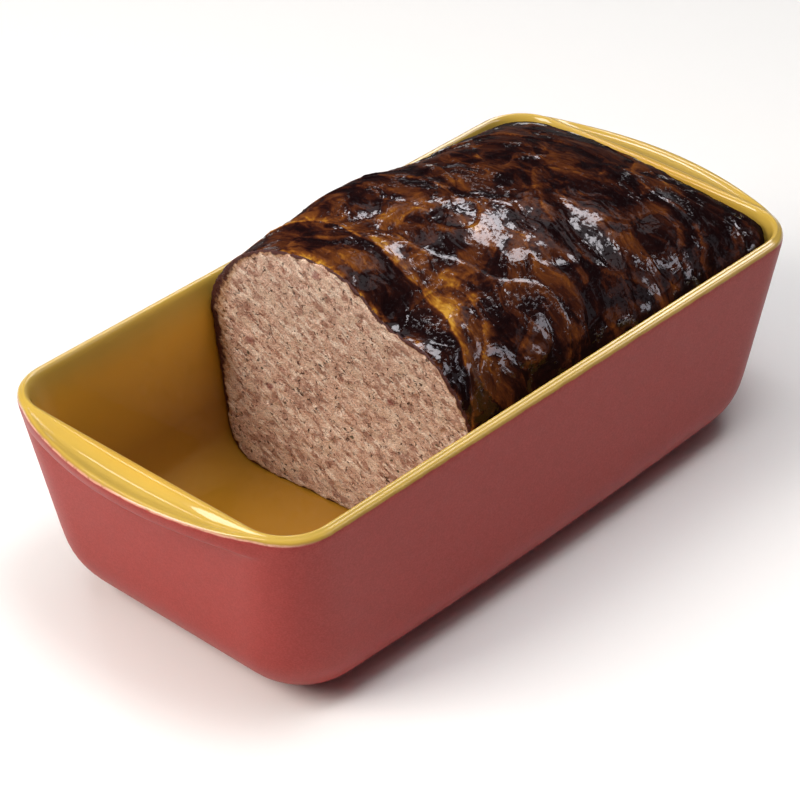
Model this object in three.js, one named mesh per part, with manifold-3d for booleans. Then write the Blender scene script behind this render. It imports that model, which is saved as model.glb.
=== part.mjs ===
import * as THREE from "three";
import { mergeVertices } from "three/addons/utils/BufferGeometryUtils.js";
import Module from "manifold-3d";

// A country terrine, partly sliced away, resting in its rectangular earthenware baking dish.
// Millimetres, +Z up. The dish lies along X: the cut face of the loaf looks towards -X, where
// the dish is empty. The origin is on the table under the middle of the dish.

// Dish
const RIM_LENGTH = 291; // outside the rim bead, without the end grips
const RIM_WIDTH = 150;
const HEIGHT = 90;
const GRIP_REACH = 12; // how far each end grip stands out from the rim bead at its middle
const BASE_LENGTH = 262; // the tapered walls continued down to the table
const BASE_WIDTH = 133;
const RIM_CORNER = 22;
const BASE_CORNER = 28;
const BASE_BOW = 3; // the long walls swell by this much at their middle, near the base
const BASE_FILLET = 26;
const WALL = 5.2;
const FLOOR = 8;
const FLOOR_FILLET = 14;
const GRIP_HALF_WIDTH = 58; // the grip runs this far to either side of the middle of the end
const GRIP_TROUGH = 2.2; // depth of the shallow groove along the top of each grip

// Loaf
const WALL_GAP = 0.4; // between the loaf and the dish wall
const FLOOR_GAP = 0.3; // between the loaf and the dish floor
const CROWN = 120; // height of the top of the loaf above the table
const CROWN_SHIFT = 14; // the crown lies this far from the middle, towards +Y
const BACK_SHOULDER = 79; // height at which the loaf leaves the +Y wall
const END_SHOULDER = 86.5; // height at which it leaves the +X wall
const FRONT_SHOULDER = 74; // height at which it leaves the -Y wall, at the uncut end
const CUT_SHOULDER = 62; // and beside the cut face
const CUT_SHRINK = 11; // the loaf has shrunk this far from the -Y wall beside the cut face
const SHRINK_LENGTH = 100; // and this far back from the cut it touches the wall again
const SIDE_POWER = 2.2; // roundness of the crown across the dish
const END_POWER = 2.6; // roundness of the crown along the dish
const EDGE_POWER = 0.6; // how steeply the crown rises from its shoulders
const CUT_X = -34.5; // the cut face on the middle plane of the dish, at half the crown's height
const CUT_LEAN = 0.06; // the cut face leans this far towards -X for each millimetre of height
const CUT_SKEW = 0.07; // and this far for each millimetre towards +Y
const SAG = 11; // the crown sinks next to the cut, on the -Y side
const SAG_Y = -20;
const SAG_WIDTH = 14;
const SAG_LENGTH = 30;
const HUMP = 9; // a swelling of the crown on the +Y side
const HUMP_X = 6;
const HUMP_Y = 45;
const HUMP_WIDTH = 17;
const HUMP_LENGTH = 28;

// Facets
const CORNER_STEPS = 7;
const END_STEPS = 14;
const SIDE_STEPS = 18;
const FILLET_STEPS = 6;
const CROWN_STEPS = 11;

// Every horizontal outline is a rounded rectangle with the same number of points. A station says
// where one of them lies: (cx, cy) picks the place on the inner rectangle between the corner
// centres, as a fraction of its half sides, and (nx, ny) is the outward normal there.
function outlineStations() {
  const signs = [[1, 1], [-1, 1], [-1, -1], [1, -1]];
  const stations = [];
  signs.forEach(([sx, sy], quadrant) => {
    for (let k = 0; k <= CORNER_STEPS; k += 1) {
      const angle = (Math.PI / 2) * (quadrant + k / CORNER_STEPS);
      stations.push({ cx: sx, cy: sy, nx: Math.cos(angle), ny: Math.sin(angle) });
    }
    const [tx, ty] = signs[(quadrant + 1) % 4];
    const steps = quadrant % 2 === 0 ? SIDE_STEPS : END_STEPS;
    const nx = (sx + tx) / 2;
    const ny = (sy + ty) / 2;
    for (let k = 1; k < steps; k += 1) {
      const f = k / steps;
      stations.push({ cx: sx + (tx - sx) * f, cy: sy + (ty - sy) * f, nx, ny });
    }
  });
  return stations;
}

const STATIONS = outlineStations();

// How much of the end grip an outline point carries: 1 at the middle of each end, 0 on the sides.
function gripShare(station, y) {
  if (Math.abs(station.cx) < 1) return 0;
  return 1 - Math.min(1, Math.abs(y) / GRIP_HALF_WIDTH) ** 2;
}

// A point on the dish's tapered shell at height z, moved inwards by inset.
function shellPoint(station, z, inset) {
  const rise = z / HEIGHT;
  const halfLength = THREE.MathUtils.lerp(BASE_LENGTH, RIM_LENGTH, rise) / 2 - inset;
  const halfWidth = THREE.MathUtils.lerp(BASE_WIDTH, RIM_WIDTH, rise) / 2 - inset;
  const corner = THREE.MathUtils.lerp(BASE_CORNER, RIM_CORNER, rise) - inset;
  const x = station.cx * (halfLength - corner) + station.nx * corner;
  const y = station.cy * (halfWidth - corner) + station.ny * corner;
  const bow = BASE_BOW * (1 - rise) * (1 - (x / halfLength) ** 2);
  return new THREE.Vector3(x, y * (1 + bow / halfWidth), z);
}

// A closed body from rings of equal length, each closed ring joined to the next, with a fan at
// either end. The rings run so that the faces point outwards.
function loft(rings) {
  const count = rings[0].length;
  const positions = rings.flat().flatMap((point) => point.toArray());
  const index = [];
  const centre = (ring) => {
    const middle = ring.reduce((sum, point) => sum.add(point), new THREE.Vector3());
    positions.push(...middle.divideScalar(count).toArray());
    return positions.length / 3 - 1;
  };
  for (let r = 0; r + 1 < rings.length; r += 1) {
    for (let i = 0; i < count; i += 1) {
      const a = r * count + i;
      const b = r * count + ((i + 1) % count);
      index.push(a, b, b + count, a, b + count, a + count);
    }
  }
  const first = centre(rings[0]);
  const last = centre(rings[rings.length - 1]);
  const offset = (rings.length - 1) * count;
  for (let i = 0; i < count; i += 1) {
    const next = (i + 1) % count;
    index.push(first, next, i);
    index.push(last, offset + i, offset + next);
  }
  const geometry = new THREE.BufferGeometry();
  geometry.setAttribute("position", new THREE.Float32BufferAttribute(positions, 3));
  geometry.setIndex(index);
  return geometry;
}

// The rounded edge between the base and the outer wall, from the base up.
function baseRings() {
  const rings = [];
  for (let k = 0; k <= FILLET_STEPS; k += 1) {
    const angle = (Math.PI / 2) * (k / FILLET_STEPS);
    const inset = BASE_FILLET * (1 - Math.sin(angle));
    const z = BASE_FILLET * (1 - Math.cos(angle));
    rings.push(STATIONS.map((station) => shellPoint(station, z, inset)));
  }
  return rings;
}

// The rim, from the outer wall over the bead to the inner wall. At each end the outline reaches
// out to the lip of the grip before it comes back to the bead. Each step gives the distance
// below the top, the inset, the share of the grip's reach and the share of its trough.
function rimRings() {
  const profile = [
    [30, 0, 0, 0],
    [14, 0, 0, 0],
    [11.5, 0, 0.12, 0],
    [10, 0, 0.7, 0],
    [8.6, 0, 0.9, 0],
    [6, 0, 1, 0],
    [3.6, 0.3, 1, 0],
    [1.9, 1.1, 0.97, 0.2],
    [1.1, 1.8, 0.86, 0.35],
    [0.7, 2.2, 0.78, 0.85],
    [0.4, 2.5, 0.56, 1],
    [0.2, 2.8, 0.33, 0.64],
    [0, 3.3, 0.14, 0.02],
    [0.3, 4.1, 0.02, 0],
    [1.2, 4.7, 0, 0],
    [3.2, 5.1, 0, 0],
    [7, WALL, 0, 0],
  ];
  return profile.map(([drop, inset, reach, trough]) =>
    STATIONS.map((station) => {
      const point = shellPoint(station, HEIGHT - drop, inset);
      const share = gripShare(station, point.y);
      point.x += Math.sign(point.x) * GRIP_REACH * reach * share;
      point.z -= GRIP_TROUGH * trough * Math.min(1, share * 2);
      return point;
    }),
  );
}

// The rounded edge between the inner wall and the floor, from the wall down.
function floorRings() {
  const rings = [];
  for (let k = 0; k <= FILLET_STEPS; k += 1) {
    rings.push(STATIONS.map((station) => cavityPoint(station, k / FILLET_STEPS, 0)));
  }
  return rings;
}

// A point on the rounded lower edge of the cavity: turn 0 is at the wall and 1 at the floor.
function cavityPoint(station, turn, gap) {
  const angle = (Math.PI / 2) * turn;
  const radius = FLOOR_FILLET - gap;
  const inset = WALL + FLOOR_FILLET - radius * Math.cos(angle);
  const z = FLOOR + FLOOR_FILLET - radius * Math.sin(angle);
  return shellPoint(station, z, inset);
}

function dishGeometry() {
  return loft([...baseRings(), ...rimRings(), ...floorRings()]);
}

// A smooth bump of height 1 at the middle.
function bump(distance, width) {
  return Math.exp(-((distance / width) ** 2));
}

// 1 beside the cut face and 0 where the loaf touches the front wall again.
function cutShare(x) {
  return 1 - THREE.MathUtils.smoothstep(x, CUT_X, CUT_X + SHRINK_LENGTH);
}

// 0 along the front wall and 1 along the back wall.
function backShare(y) {
  return THREE.MathUtils.smoothstep(y, -RIM_WIDTH / 2, RIM_WIDTH / 2);
}

// Height at which the loaf leaves the wall, all the way round.
function shoulderHeight(x, y) {
  const front = THREE.MathUtils.lerp(FRONT_SHOULDER, CUT_SHOULDER, cutShare(x));
  const side = THREE.MathUtils.lerp(front, BACK_SHOULDER, backShare(y));
  const end = THREE.MathUtils.smoothstep(x, RIM_LENGTH / 4, RIM_LENGTH / 2);
  return THREE.MathUtils.lerp(side, END_SHOULDER, end);
}

// Height of the loaf's upper surface above its shoulders, from 1 on the crown to 0 at the wall.
function crownShare(u, v) {
  const along = (1 - Math.min(1, Math.abs(u)) ** END_POWER) ** EDGE_POWER;
  const across = (1 - Math.min(1, Math.abs(v)) ** SIDE_POWER) ** EDGE_POWER;
  return along * across;
}

// The whole loaf before slicing: up the walls of the dish, then over the crown.
function wholeLoafRings() {
  const rings = [];
  for (let k = FILLET_STEPS; k >= 0; k -= 1) {
    rings.push(STATIONS.map((s) => cavityPoint(s, k / FILLET_STEPS, WALL_GAP)));
  }
  rings[0].forEach((point) => point.setZ(FLOOR + FLOOR_GAP));
  const wallFoot = FLOOR + FLOOR_FILLET;
  const edge = STATIONS.map((station) => {
    const foot = shellPoint(station, wallFoot, WALL + WALL_GAP);
    const shrink = CUT_SHRINK * cutShare(foot.x) * (1 - backShare(foot.y));
    const point = shellPoint(station, shoulderHeight(foot.x, foot.y), WALL + WALL_GAP);
    return point.setY(point.y + shrink);
  });
  const wallTop = rings[rings.length - 1];
  rings.push(edge.map((point, i) => point.clone().lerp(wallTop[i], 0.5)));
  for (let k = 0; k < CROWN_STEPS; k += 1) {
    const scale = Math.cos((Math.PI / 2) * (k / CROWN_STEPS));
    rings.push(edge.map((rim, i) => crownPoint(STATIONS[i], rim, scale)));
  }
  return rings;
}

// Half the size of the loaf's outline where it leaves the walls of the uncut end.
const END_WALL = { cx: 1, cy: 0, nx: 1, ny: 0 };
const SIDE_WALL = { cx: 1, cy: 1, nx: 0, ny: 1 };
const SHOULDER_HALF_LENGTH = shellPoint(END_WALL, END_SHOULDER, WALL + WALL_GAP).x;
const SHOULDER_HALF_WIDTH = shellPoint(SIDE_WALL, END_SHOULDER, WALL + WALL_GAP).y;

// A point on the upper surface, the given share of the way from the crown to the shoulder rim.
function crownPoint(station, rim, scale) {
  const x = rim.x * scale;
  const y = rim.y * scale + CROWN_SHIFT * (1 - scale);
  const side = Math.sign(rim.y - CROWN_SHIFT);
  const shrunk = side < 0 ? CUT_SHRINK * cutShare(rim.x) : 0;
  const onLongWall = Math.abs(station.ny) > 0.99;
  const wall = onLongWall ? rim.y : side * SHOULDER_HALF_WIDTH + shrunk;
  const share = crownShare(x / SHOULDER_HALF_LENGTH, (y - CROWN_SHIFT) / (wall - CROWN_SHIFT));
  const base = THREE.MathUtils.lerp(CROWN, rim.z, 1 - share);
  const sag = SAG * bump(y - SAG_Y, SAG_WIDTH) * bump(Math.max(0, x - CUT_X), SAG_LENGTH);
  const hump = HUMP * bump(x - HUMP_X, HUMP_LENGTH) * bump(y - HUMP_Y, HUMP_WIDTH);
  return new THREE.Vector3(x, y, base + (hump - sag) * share);
}

function toManifold(wasm, geometry) {
  const merged = mergeVertices(geometry);
  return new wasm.Manifold(
    new wasm.Mesh({
      numProp: 3,
      vertProperties: merged.attributes.position.array,
      triVerts: new Uint32Array(merged.index.array),
    }),
  );
}

function fromManifold(solid) {
  const mesh = solid.getMesh();
  const geometry = new THREE.BufferGeometry();
  geometry.setAttribute("position", new THREE.Float32BufferAttribute(mesh.vertProperties, 3));
  geometry.setIndex(Array.from(mesh.triVerts));
  return geometry;
}

// The block of slices already taken: everything on the -X side of the leaning cut face.
function slicesTaken() {
  const block = new THREE.BoxGeometry(RIM_LENGTH, RIM_WIDTH * 2, CROWN * 2);
  block.deleteAttribute("normal");
  block.deleteAttribute("uv");
  const shear = new THREE.Matrix4().set(
    1, -CUT_SKEW, -CUT_LEAN, CUT_X - RIM_LENGTH / 2,
    0, 1, 0, 0,
    0, 0, 1, CROWN / 2,
    0, 0, 0, 1,
  );
  return block.applyMatrix4(shear);
}

async function loafGeometry() {
  const wasm = await Module();
  wasm.setup();
  const whole = toManifold(wasm, loft(wholeLoafRings()));
  return fromManifold(whole.subtract(toManifold(wasm, slicesTaken())));
}

function addMesh(group, name, geometry, material) {
  geometry.computeVertexNormals();
  const mesh = new THREE.Mesh(geometry, material);
  mesh.name = name;
  group.add(mesh);
}

const glazedEarthenware = new THREE.MeshStandardMaterial({ color: "#9c4a44", roughness: 0.35, metalness: 0 });
const terrineMeat = new THREE.MeshStandardMaterial({ color: "#7a5344", roughness: 0.5, metalness: 0 });

const group = new THREE.Group();
addMesh(group, "terrine_dish", dishGeometry(), glazedEarthenware);
addMesh(group, "terrine_loaf", await loafGeometry(), terrineMeat);

export default group;
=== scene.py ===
"""Country terrine, partly sliced away, in its glazed earthenware dish."""

import math
from functools import partial

import bpy
from bpy.props import FloatProperty, FloatVectorProperty, PointerProperty
from mathutils import Matrix, Vector, kdtree, noise


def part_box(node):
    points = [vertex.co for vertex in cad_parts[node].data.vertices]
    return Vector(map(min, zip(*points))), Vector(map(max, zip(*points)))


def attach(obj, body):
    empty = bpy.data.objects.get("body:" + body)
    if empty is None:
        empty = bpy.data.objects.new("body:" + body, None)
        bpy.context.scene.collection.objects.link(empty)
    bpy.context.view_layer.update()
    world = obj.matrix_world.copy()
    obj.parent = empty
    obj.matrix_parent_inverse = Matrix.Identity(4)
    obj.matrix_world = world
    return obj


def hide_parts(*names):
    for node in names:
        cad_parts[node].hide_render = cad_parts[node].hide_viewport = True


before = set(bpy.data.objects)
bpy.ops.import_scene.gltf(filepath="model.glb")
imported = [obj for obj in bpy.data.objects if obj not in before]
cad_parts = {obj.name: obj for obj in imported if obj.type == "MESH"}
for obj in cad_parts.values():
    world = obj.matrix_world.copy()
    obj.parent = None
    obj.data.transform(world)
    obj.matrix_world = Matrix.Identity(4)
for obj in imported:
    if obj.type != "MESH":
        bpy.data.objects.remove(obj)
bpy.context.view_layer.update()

bl_info = {
    "name": "Country Terrine in Its Dish",
    "version": (1, 0, 0),
    "blender": (4, 5, 0),
    "location": "3D View > Sidebar > Terrine",
    "description": "Builds a sliced country terrine resting in a glazed earthenware baking dish",
    "category": "Add Mesh",
}

MM = 0.001
DISH_LOW, DISH_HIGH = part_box("terrine_dish")

# The shape of the dish, in millimetres, as the solid has it.
HEIGHT = DISH_HIGH.z / MM
GRIP_REACH = 12.0
TAPER_AT_GRIPS = 1.8
RIM_LENGTH = (DISH_HIGH.x - DISH_LOW.x) / MM - 2 * GRIP_REACH + TAPER_AT_GRIPS
RIM_WIDTH = 150.0
BASE_LENGTH = 262.0
BASE_WIDTH = 133.0
RIM_CORNER = 22.0
BASE_CORNER = 28.0
BASE_BOW = 3.0
BASE_FILLET = 26.0
WALL = 5.2
FLOOR = 8.0
FLOOR_FILLET = 14.0
GRIP_HALF_WIDTH = 58.0
FILLET_STEPS = 8
OUTER_LEVELS = (36, 46, 56, 66, 73)
INNER_LEVELS = (70, 60, 50, 40, 30)

# The rim: distance below the top, inset, share of the grip's reach and share of its trough.
RIM_PROFILE = (
    (14.0, 0.0, 0.0, 0.0),
    (12.4, 0.0, 0.03, 0.0),
    (11.4, 0.0, 0.14, 0.0),
    (10.6, 0.0, 0.42, 0.0),
    (9.9, 0.0, 0.74, 0.0),
    (8.9, 0.0, 0.9, 0.0),
    (7.4, 0.0, 0.97, 0.0),
    (5.6, 0.0, 1.0, 0.0),
    (4.2, 0.05, 1.01, 0.0),
    (3.0, 0.2, 1.01, 0.0),
    (2.1, 0.55, 0.99, 0.05),
    (1.4, 1.05, 0.95, 0.15),
    (0.95, 1.6, 0.89, 0.35),
    (0.7, 2.1, 0.82, 0.7),
    (0.55, 2.4, 0.67, 1.0),
    (0.4, 2.6, 0.51, 1.0),
    (0.25, 2.8, 0.37, 0.74),
    (0.1, 3.05, 0.25, 0.3),
    (0.0, 3.35, 0.14, 0.02),
    (0.1, 3.8, 0.05, 0.0),
    (0.45, 4.25, 0.0, 0.0),
    (1.1, 4.65, 0.0, 0.0),
    (2.1, 4.95, 0.0, 0.0),
    (3.6, 5.12, 0.0, 0.0),
    (6.0, WALL, 0.0, 0.0),
    (12.0, WALL, 0.0, 0.0),
)

# The underside and the floor close the shell. They have no outlines of their own, so the
# underside counts as UNDERSIDE_PAST the glaze line and the floor as FLOOR_PAST more than the
# deepest outline. Each is inset in the steps of CAP_RINGS.
UNDERSIDE_PAST = -60.0
FLOOR_PAST = 20.0
CAP_RINGS = (0.94, 0.8)

# The cut face is the plane x = CUT_X - CUT_SKEW * y - CUT_LEAN * (z - CUT_Z).
CUT_X = -34.5
CUT_SKEW = 0.07
CUT_LEAN = 0.06
CUT_Z = 60.0

# A vertex less than CUT_DEPTH behind that plane belongs to the cut face. What lies lower than
# HIDDEN_BELOW is out of sight in the dish and keeps HIDDEN_SHARE of its faces. The solid's
# facets are smoothed off the crown in CROWN_PASSES passes.
CUT_DEPTH = 1.2
HIDDEN_BELOW = 60.0
HIDDEN_SHARE = 0.12
CROWN_PASSES = 30

# How near the edge of the cut a point lies is its mean distance from EDGE_POINTS vertices of
# that edge, less EDGE_MEAN, which is what the mean comes to on the edge itself.
EDGE_POINTS = 8
EDGE_MEAN = 1.6

# A sheet of caul fat ends at SHEET_X along the top, and the crown has one big lump. The meat's
# grain falls by GRAIN_FALL towards the front of the dish.
SHEET_X = -16.0
LUMP_CENTRE = Vector((27, 23, 118))
LUMP_RADIUS = 27
GRAIN_FALL = math.radians(33)
NOISE_SEED = 1

# The camera and what the lights point at, in metres.
CAMERA_PLACE = Vector((-0.71777, -0.65129, 0.70789))
CAMERA_AIM = Vector((0.0024, 0.01007, 0.04))
CAMERA_ROLL = math.radians(-0.18)
LIGHT_AIM = Vector((0.0, 0.0, 0.06))
# Each light's name, setting, place, size, colour and the kind of ray that doesn't see it.
LIGHTS = (
    ("key_light", "key_power", (-1.2, 0.5, 1.1), (0.9, 0.9), "fffaf2", None),
    ("gloss_light", "gloss_power", (0.945, 0.08, 1.21), (1.1, 0.65), "f6f2f8", "diffuse"),
    ("rim_light", "rim_power", (0.1, 0.85, 1.2), (0.08, 0.26), "f8f7ff", None),
    ("grip_light", "grip_power", (0.67, 0.74, 1.19), (0.07, 0.3), "f8f7ff", "diffuse"),
    ("side_light", "side_power", (0.0, -0.32, 1.6), (0.5, 0.5), "ffffff", "glossy"),
    ("card_light", "card_power", (0.95, -1.05, 0.8), (1.2, 0.35), "f4f2ff", "diffuse"),
    ("fill_light", "fill_power", (-0.05, -0.05, 1.57), (1.5, 1.5), "ffffff", "glossy"),
)


def srgb(code):
    """A hex colour such as "c99a3a" as linear red, green, blue and alpha 1."""
    parts = [int(code[i : i + 2], 16) / 255 for i in (0, 2, 4)]
    linear = [c / 12.92 if c <= 0.04045 else ((c + 0.055) / 1.055) ** 2.4 for c in parts]
    return (*linear, 1.0)


def smoothstep(low, high, value):
    t = min(1.0, max(0.0, (value - low) / (high - low)))
    return t * t * (3 - 2 * t)


def lerp(a, b, t):
    return a + (b - a) * t


# ---------------------------------------------------------------- settings


def colour(name, description, code):
    return FloatVectorProperty(
        name=name,
        description=description,
        subtype="COLOR",
        size=4,
        min=0.0,
        max=1.0,
        default=srgb(code),
    )


def length(name, description, default, low, high):
    """A setting in millimetres, kept in metres."""
    return FloatProperty(
        name=name,
        description=description,
        default=default * MM,
        min=low * MM,
        max=high * MM,
        unit="LENGTH",
    )


def power(name, description, default):
    return FloatProperty(name=name, description=description, default=default, min=0.0, unit="POWER")


class TERRINE_PG_dish(bpy.types.PropertyGroup):
    outer_glaze: colour("Outer glaze", "Satin brick red glaze outside", "96332d")
    rim_glaze: colour("Rim glaze", "Ochre yellow glaze over the rim and the grips", "c8a548")
    inner_glaze: colour("Inner glaze", "The same yellow glaze where it lies thicker inside", "e8b03c")
    glaze_line: length(
        "Glaze line", "How far below the top of the rim the yellow glaze ends outside", 2.6, 0.5, 6
    )
    grip_trough: length(
        "Grip trough", "Depth of the shallow groove along the top of each grip", 2.2, 0, 4
    )


class TERRINE_PG_loaf(bpy.types.PropertyGroup):
    lean: colour("Lean meat", "Cooked lean pork on the cut face", "b07d6a")
    fat: colour("Fat", "Pieces of cooked fat on the cut face", "e0bda9")
    crust: colour("Dark crust", "Near-black of the oven-browned crust", "200e0d")
    amber: colour("Amber caul fat", "Browned caul fat where it is thin", "935f20")
    facet: length(
        "Facet", "Edge length of the loaf's mesh before its visible faces are divided", 1.7, 1.2, 3
    )
    fold_height: length("Fold height", "Height of the folds of caul fat on the crust", 0.9, 0, 3)
    grain_depth: length("Grain depth", "Depth of the coarse grain on the cut face", 0.45, 0, 1.5)


class TERRINE_PG_stage(bpy.types.PropertyGroup):
    floor: colour("Floor", "Plain pale floor", "fbfaf9")
    lens: FloatProperty(
        name="Lens",
        description="Focal length on a sensor 36 mm wide",
        default=138.1,
        min=20.0,
        max=300.0,
        unit="CAMERA",
    )
    key_power: power("Key light", "Power of the softbox on the left", 23.8)
    gloss_power: power(
        "Gloss light", "Power of the softbox beyond the far end, which the wet crust mirrors", 23.0
    )
    rim_power: power(
        "Rim light", "Power of the narrow softbox that draws lines along the near grip", 0.75
    )
    grip_power: power(
        "Grip light", "Power of the narrow softbox that draws lines along the far grip", 0.85
    )
    side_power: power(
        "Side light", "Power of the high softbox in front, which reaches the inner walls", 7.0
    )
    card_power: power(
        "Card", "Power of the low card on the right, which only the gloss shows", 6.0
    )
    fill_power: power("Fill light", "Power of the wide overhead light", 13.5)


# ---------------------------------------------------------------- modelling


def deselect():
    if bpy.context.object and bpy.context.object.mode != "OBJECT":
        bpy.ops.object.mode_set(mode="OBJECT")
    bpy.ops.object.select_all(action="DESELECT")


def activate(piece):
    deselect()
    piece.select_set(True)
    bpy.context.view_layer.objects.active = piece


def new_piece(name, mesh):
    piece = bpy.data.objects.new(name, mesh)
    bpy.context.scene.collection.objects.link(piece)
    activate(piece)
    return piece


def apply_modifier(piece, kind, **settings):
    activate(piece)
    modifier = piece.modifiers.new(kind.title(), kind)
    for key, value in settings.items():
        setattr(modifier, key, value)
    bpy.ops.object.modifier_apply(modifier=modifier.name)


def store(piece, name, values):
    """Keeps a number for each vertex, for a material to read."""
    attribute = piece.data.attributes.new(name, "FLOAT", "POINT")
    attribute.data.foreach_set("value", values)


def select_faces(piece, test):
    """In edit mode, selects the faces whose centre in millimetres passes the test."""
    activate(piece)
    for polygon in piece.data.polygons:
        polygon.select = test(polygon.center / MM)
    for edge in piece.data.edges:
        edge.select = False
    for vertex in piece.data.vertices:
        vertex.select = False
    bpy.ops.object.mode_set(mode="EDIT")
    bpy.ops.mesh.select_mode(type="FACE")


def outline_stations(corner_steps, end_steps, side_steps):
    """Places round a rounded rectangle: the corner centre's share of each half side, and the normal."""
    signs = [(1, 1), (-1, 1), (-1, -1), (1, -1)]
    stations = []
    for quadrant, (sx, sy) in enumerate(signs):
        for k in range(corner_steps + 1):
            angle = math.pi / 2 * (quadrant + k / corner_steps)
            stations.append((sx, sy, math.cos(angle), math.sin(angle)))
        tx, ty = signs[(quadrant + 1) % 4]
        steps = end_steps if quadrant % 2 else side_steps
        for k in range(1, steps):
            f = k / steps
            stations.append((lerp(sx, tx, f), lerp(sy, ty, f), (sx + tx) / 2, (sy + ty) / 2))
    return stations


def shell_point(station, z, inset):
    """A point on the dish's tapered shell at height z, moved inwards by inset, in millimetres."""
    cx, cy, nx, ny = station
    rise = z / HEIGHT
    half_length = lerp(BASE_LENGTH, RIM_LENGTH, rise) / 2 - inset
    half_width = lerp(BASE_WIDTH, RIM_WIDTH, rise) / 2 - inset
    corner = lerp(BASE_CORNER, RIM_CORNER, rise) - inset
    x = cx * (half_length - corner) + nx * corner
    y = cy * (half_width - corner) + ny * corner
    bow = BASE_BOW * (1 - rise) * (1 - (x / half_length) ** 2)
    return Vector((x, y * (1 + bow / half_width), z))


def dish_rings(stations, trough_depth):
    """Outlines of the dish from the base, up the outside, over the rim and down to the floor."""
    rings = []
    for k in range(FILLET_STEPS + 1):
        angle = math.pi / 2 * k / FILLET_STEPS
        z = BASE_FILLET * (1 - math.cos(angle))
        inset = BASE_FILLET * (1 - math.sin(angle))
        rings.append([shell_point(s, z, inset) for s in stations])
    for z in OUTER_LEVELS:
        rings.append([shell_point(s, z, 0) for s in stations])
    for drop, inset, reach, trough in RIM_PROFILE:
        ring = []
        for s in stations:
            point = shell_point(s, HEIGHT - drop, inset)
            share = 0.0 if abs(s[0]) < 1 else 1 - min(1.0, abs(point.y) / GRIP_HALF_WIDTH) ** 2
            point.x += math.copysign(GRIP_REACH * reach * share, point.x)
            point.z -= trough_depth * trough * min(1.0, share * 2)
            ring.append(point)
        rings.append(ring)
    for z in INNER_LEVELS:
        rings.append([shell_point(s, z, WALL) for s in stations])
    for k in range(FILLET_STEPS):
        angle = math.pi / 2 * k / (FILLET_STEPS - 1)
        inset = WALL + FLOOR_FILLET * (1 - math.cos(angle))
        z = FLOOR + FLOOR_FILLET * (1 - math.sin(angle))
        rings.append([shell_point(s, z, inset) for s in stations])
    return rings


def along_profile(rings, glaze_line):
    """For every ring and station, how far the profile runs past the end of the yellow glaze."""
    top_ring = max(range(len(rings)), key=lambda r: rings[r][0].z)
    line = next(r for r in range(top_ring, 0, -1) if rings[r][0].z <= HEIGHT - glaze_line)
    share = (HEIGHT - glaze_line - rings[line][0].z) / (rings[line + 1][0].z - rings[line][0].z)
    count = len(rings[0])
    tops = [0.0] * count
    lengths = []
    for r, ring in enumerate(rings):
        if r:
            before = rings[r - 1]
            tops = [tops[i] + (ring[i] - before[i]).length for i in range(count)]
        lengths.append(tops)
    marks = [lerp(lengths[line][i], lengths[line + 1][i], share) for i in range(count)]
    return [[lengths[r][i] - marks[i] for i in range(count)] for r in range(len(rings))]


class TERRINE_OT_dish(bpy.types.Operator):
    """Build the glazed earthenware dish"""

    bl_idname = "terrine.dish"
    bl_label = "Dish"

    # Corner radii, taper, bow, grips and troughs all vary along every outline, so the shell is
    # laid out outline by outline. Edit-mode extrusions can't hold its corners to the solid's.
    def execute(self, context):
        settings = context.scene.terrine_dish
        stations = outline_stations(corner_steps=10, end_steps=26, side_steps=30)
        rings = dish_rings(stations, settings.grip_trough / MM)
        count = len(stations)
        points = [p * MM for ring in rings for p in ring]
        faces = []
        for r in range(len(rings) - 1):
            for i in range(count):
                j = (i + 1) % count
                faces.append((r * count + i, r * count + j, (r + 1) * count + j, (r + 1) * count + i))
        mesh = bpy.data.meshes.new("dish")
        mesh.from_pydata(points, [], faces)
        past = along_profile(rings, settings.glaze_line / MM)
        piece = new_piece("dish", mesh)
        store(piece, "glaze_mm", [value for ring in past for value in ring])
        bpy.ops.object.mode_set(mode="EDIT")
        for ring in (0, len(rings) - 1):
            bpy.ops.mesh.select_all(action="DESELECT")
            bpy.ops.object.mode_set(mode="OBJECT")
            for i in range(count):
                mesh.vertices[ring * count + i].select = True
            bpy.ops.object.mode_set(mode="EDIT")
            bpy.ops.mesh.select_mode(type="VERT")
            bpy.ops.mesh.edge_face_add()
            for size in CAP_RINGS:
                bpy.ops.mesh.extrude_region()
                bpy.ops.transform.resize(value=(size, size, 1.0))
        bpy.ops.mesh.select_all(action="SELECT")
        bpy.ops.mesh.normals_make_consistent(inside=False)
        bpy.ops.object.mode_set(mode="OBJECT")
        glaze = mesh.attributes["glaze_mm"].data
        deepest = max(v.value for v in glaze)
        for v in mesh.vertices[len(rings) * count :]:
            under = v.co.z < FLOOR * MM / 2
            glaze[v.index].value = UNDERSIDE_PAST if under else deepest + FLOOR_PAST
        apply_modifier(piece, "SUBSURF", levels=1, render_levels=1)
        bpy.ops.object.shade_smooth()
        piece.data.materials.append(glazed_earthenware(settings))
        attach(piece, "root")
        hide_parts("terrine_dish")
        return {"FINISHED"}


def past_cut(p):
    """How far a point in millimetres lies behind the cut face."""
    return p.x - CUT_X + CUT_SKEW * p.y + CUT_LEAN * (p.z - CUT_Z)


def warped(p, size, reach, seed):
    """The point moved by noise, by up to about reach in lumps of the given size."""
    return p + noise.noise_vector(p / size + Vector((seed, seed * 2.0, -seed))) * reach


def past_sheet_edge(p):
    """How far a point lies behind the edge of the sheet of caul fat that ends short of the cut."""
    front, back = max(0.0, -20 - p.y), max(0.0, p.y - 20)
    line = SHEET_X - 0.012 * front**2 - 0.01 * back**2
    return p.x - line + 1.6 * noise.noise(p / 9.0) + 0.5 * noise.noise(p / 2.7)


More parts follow.
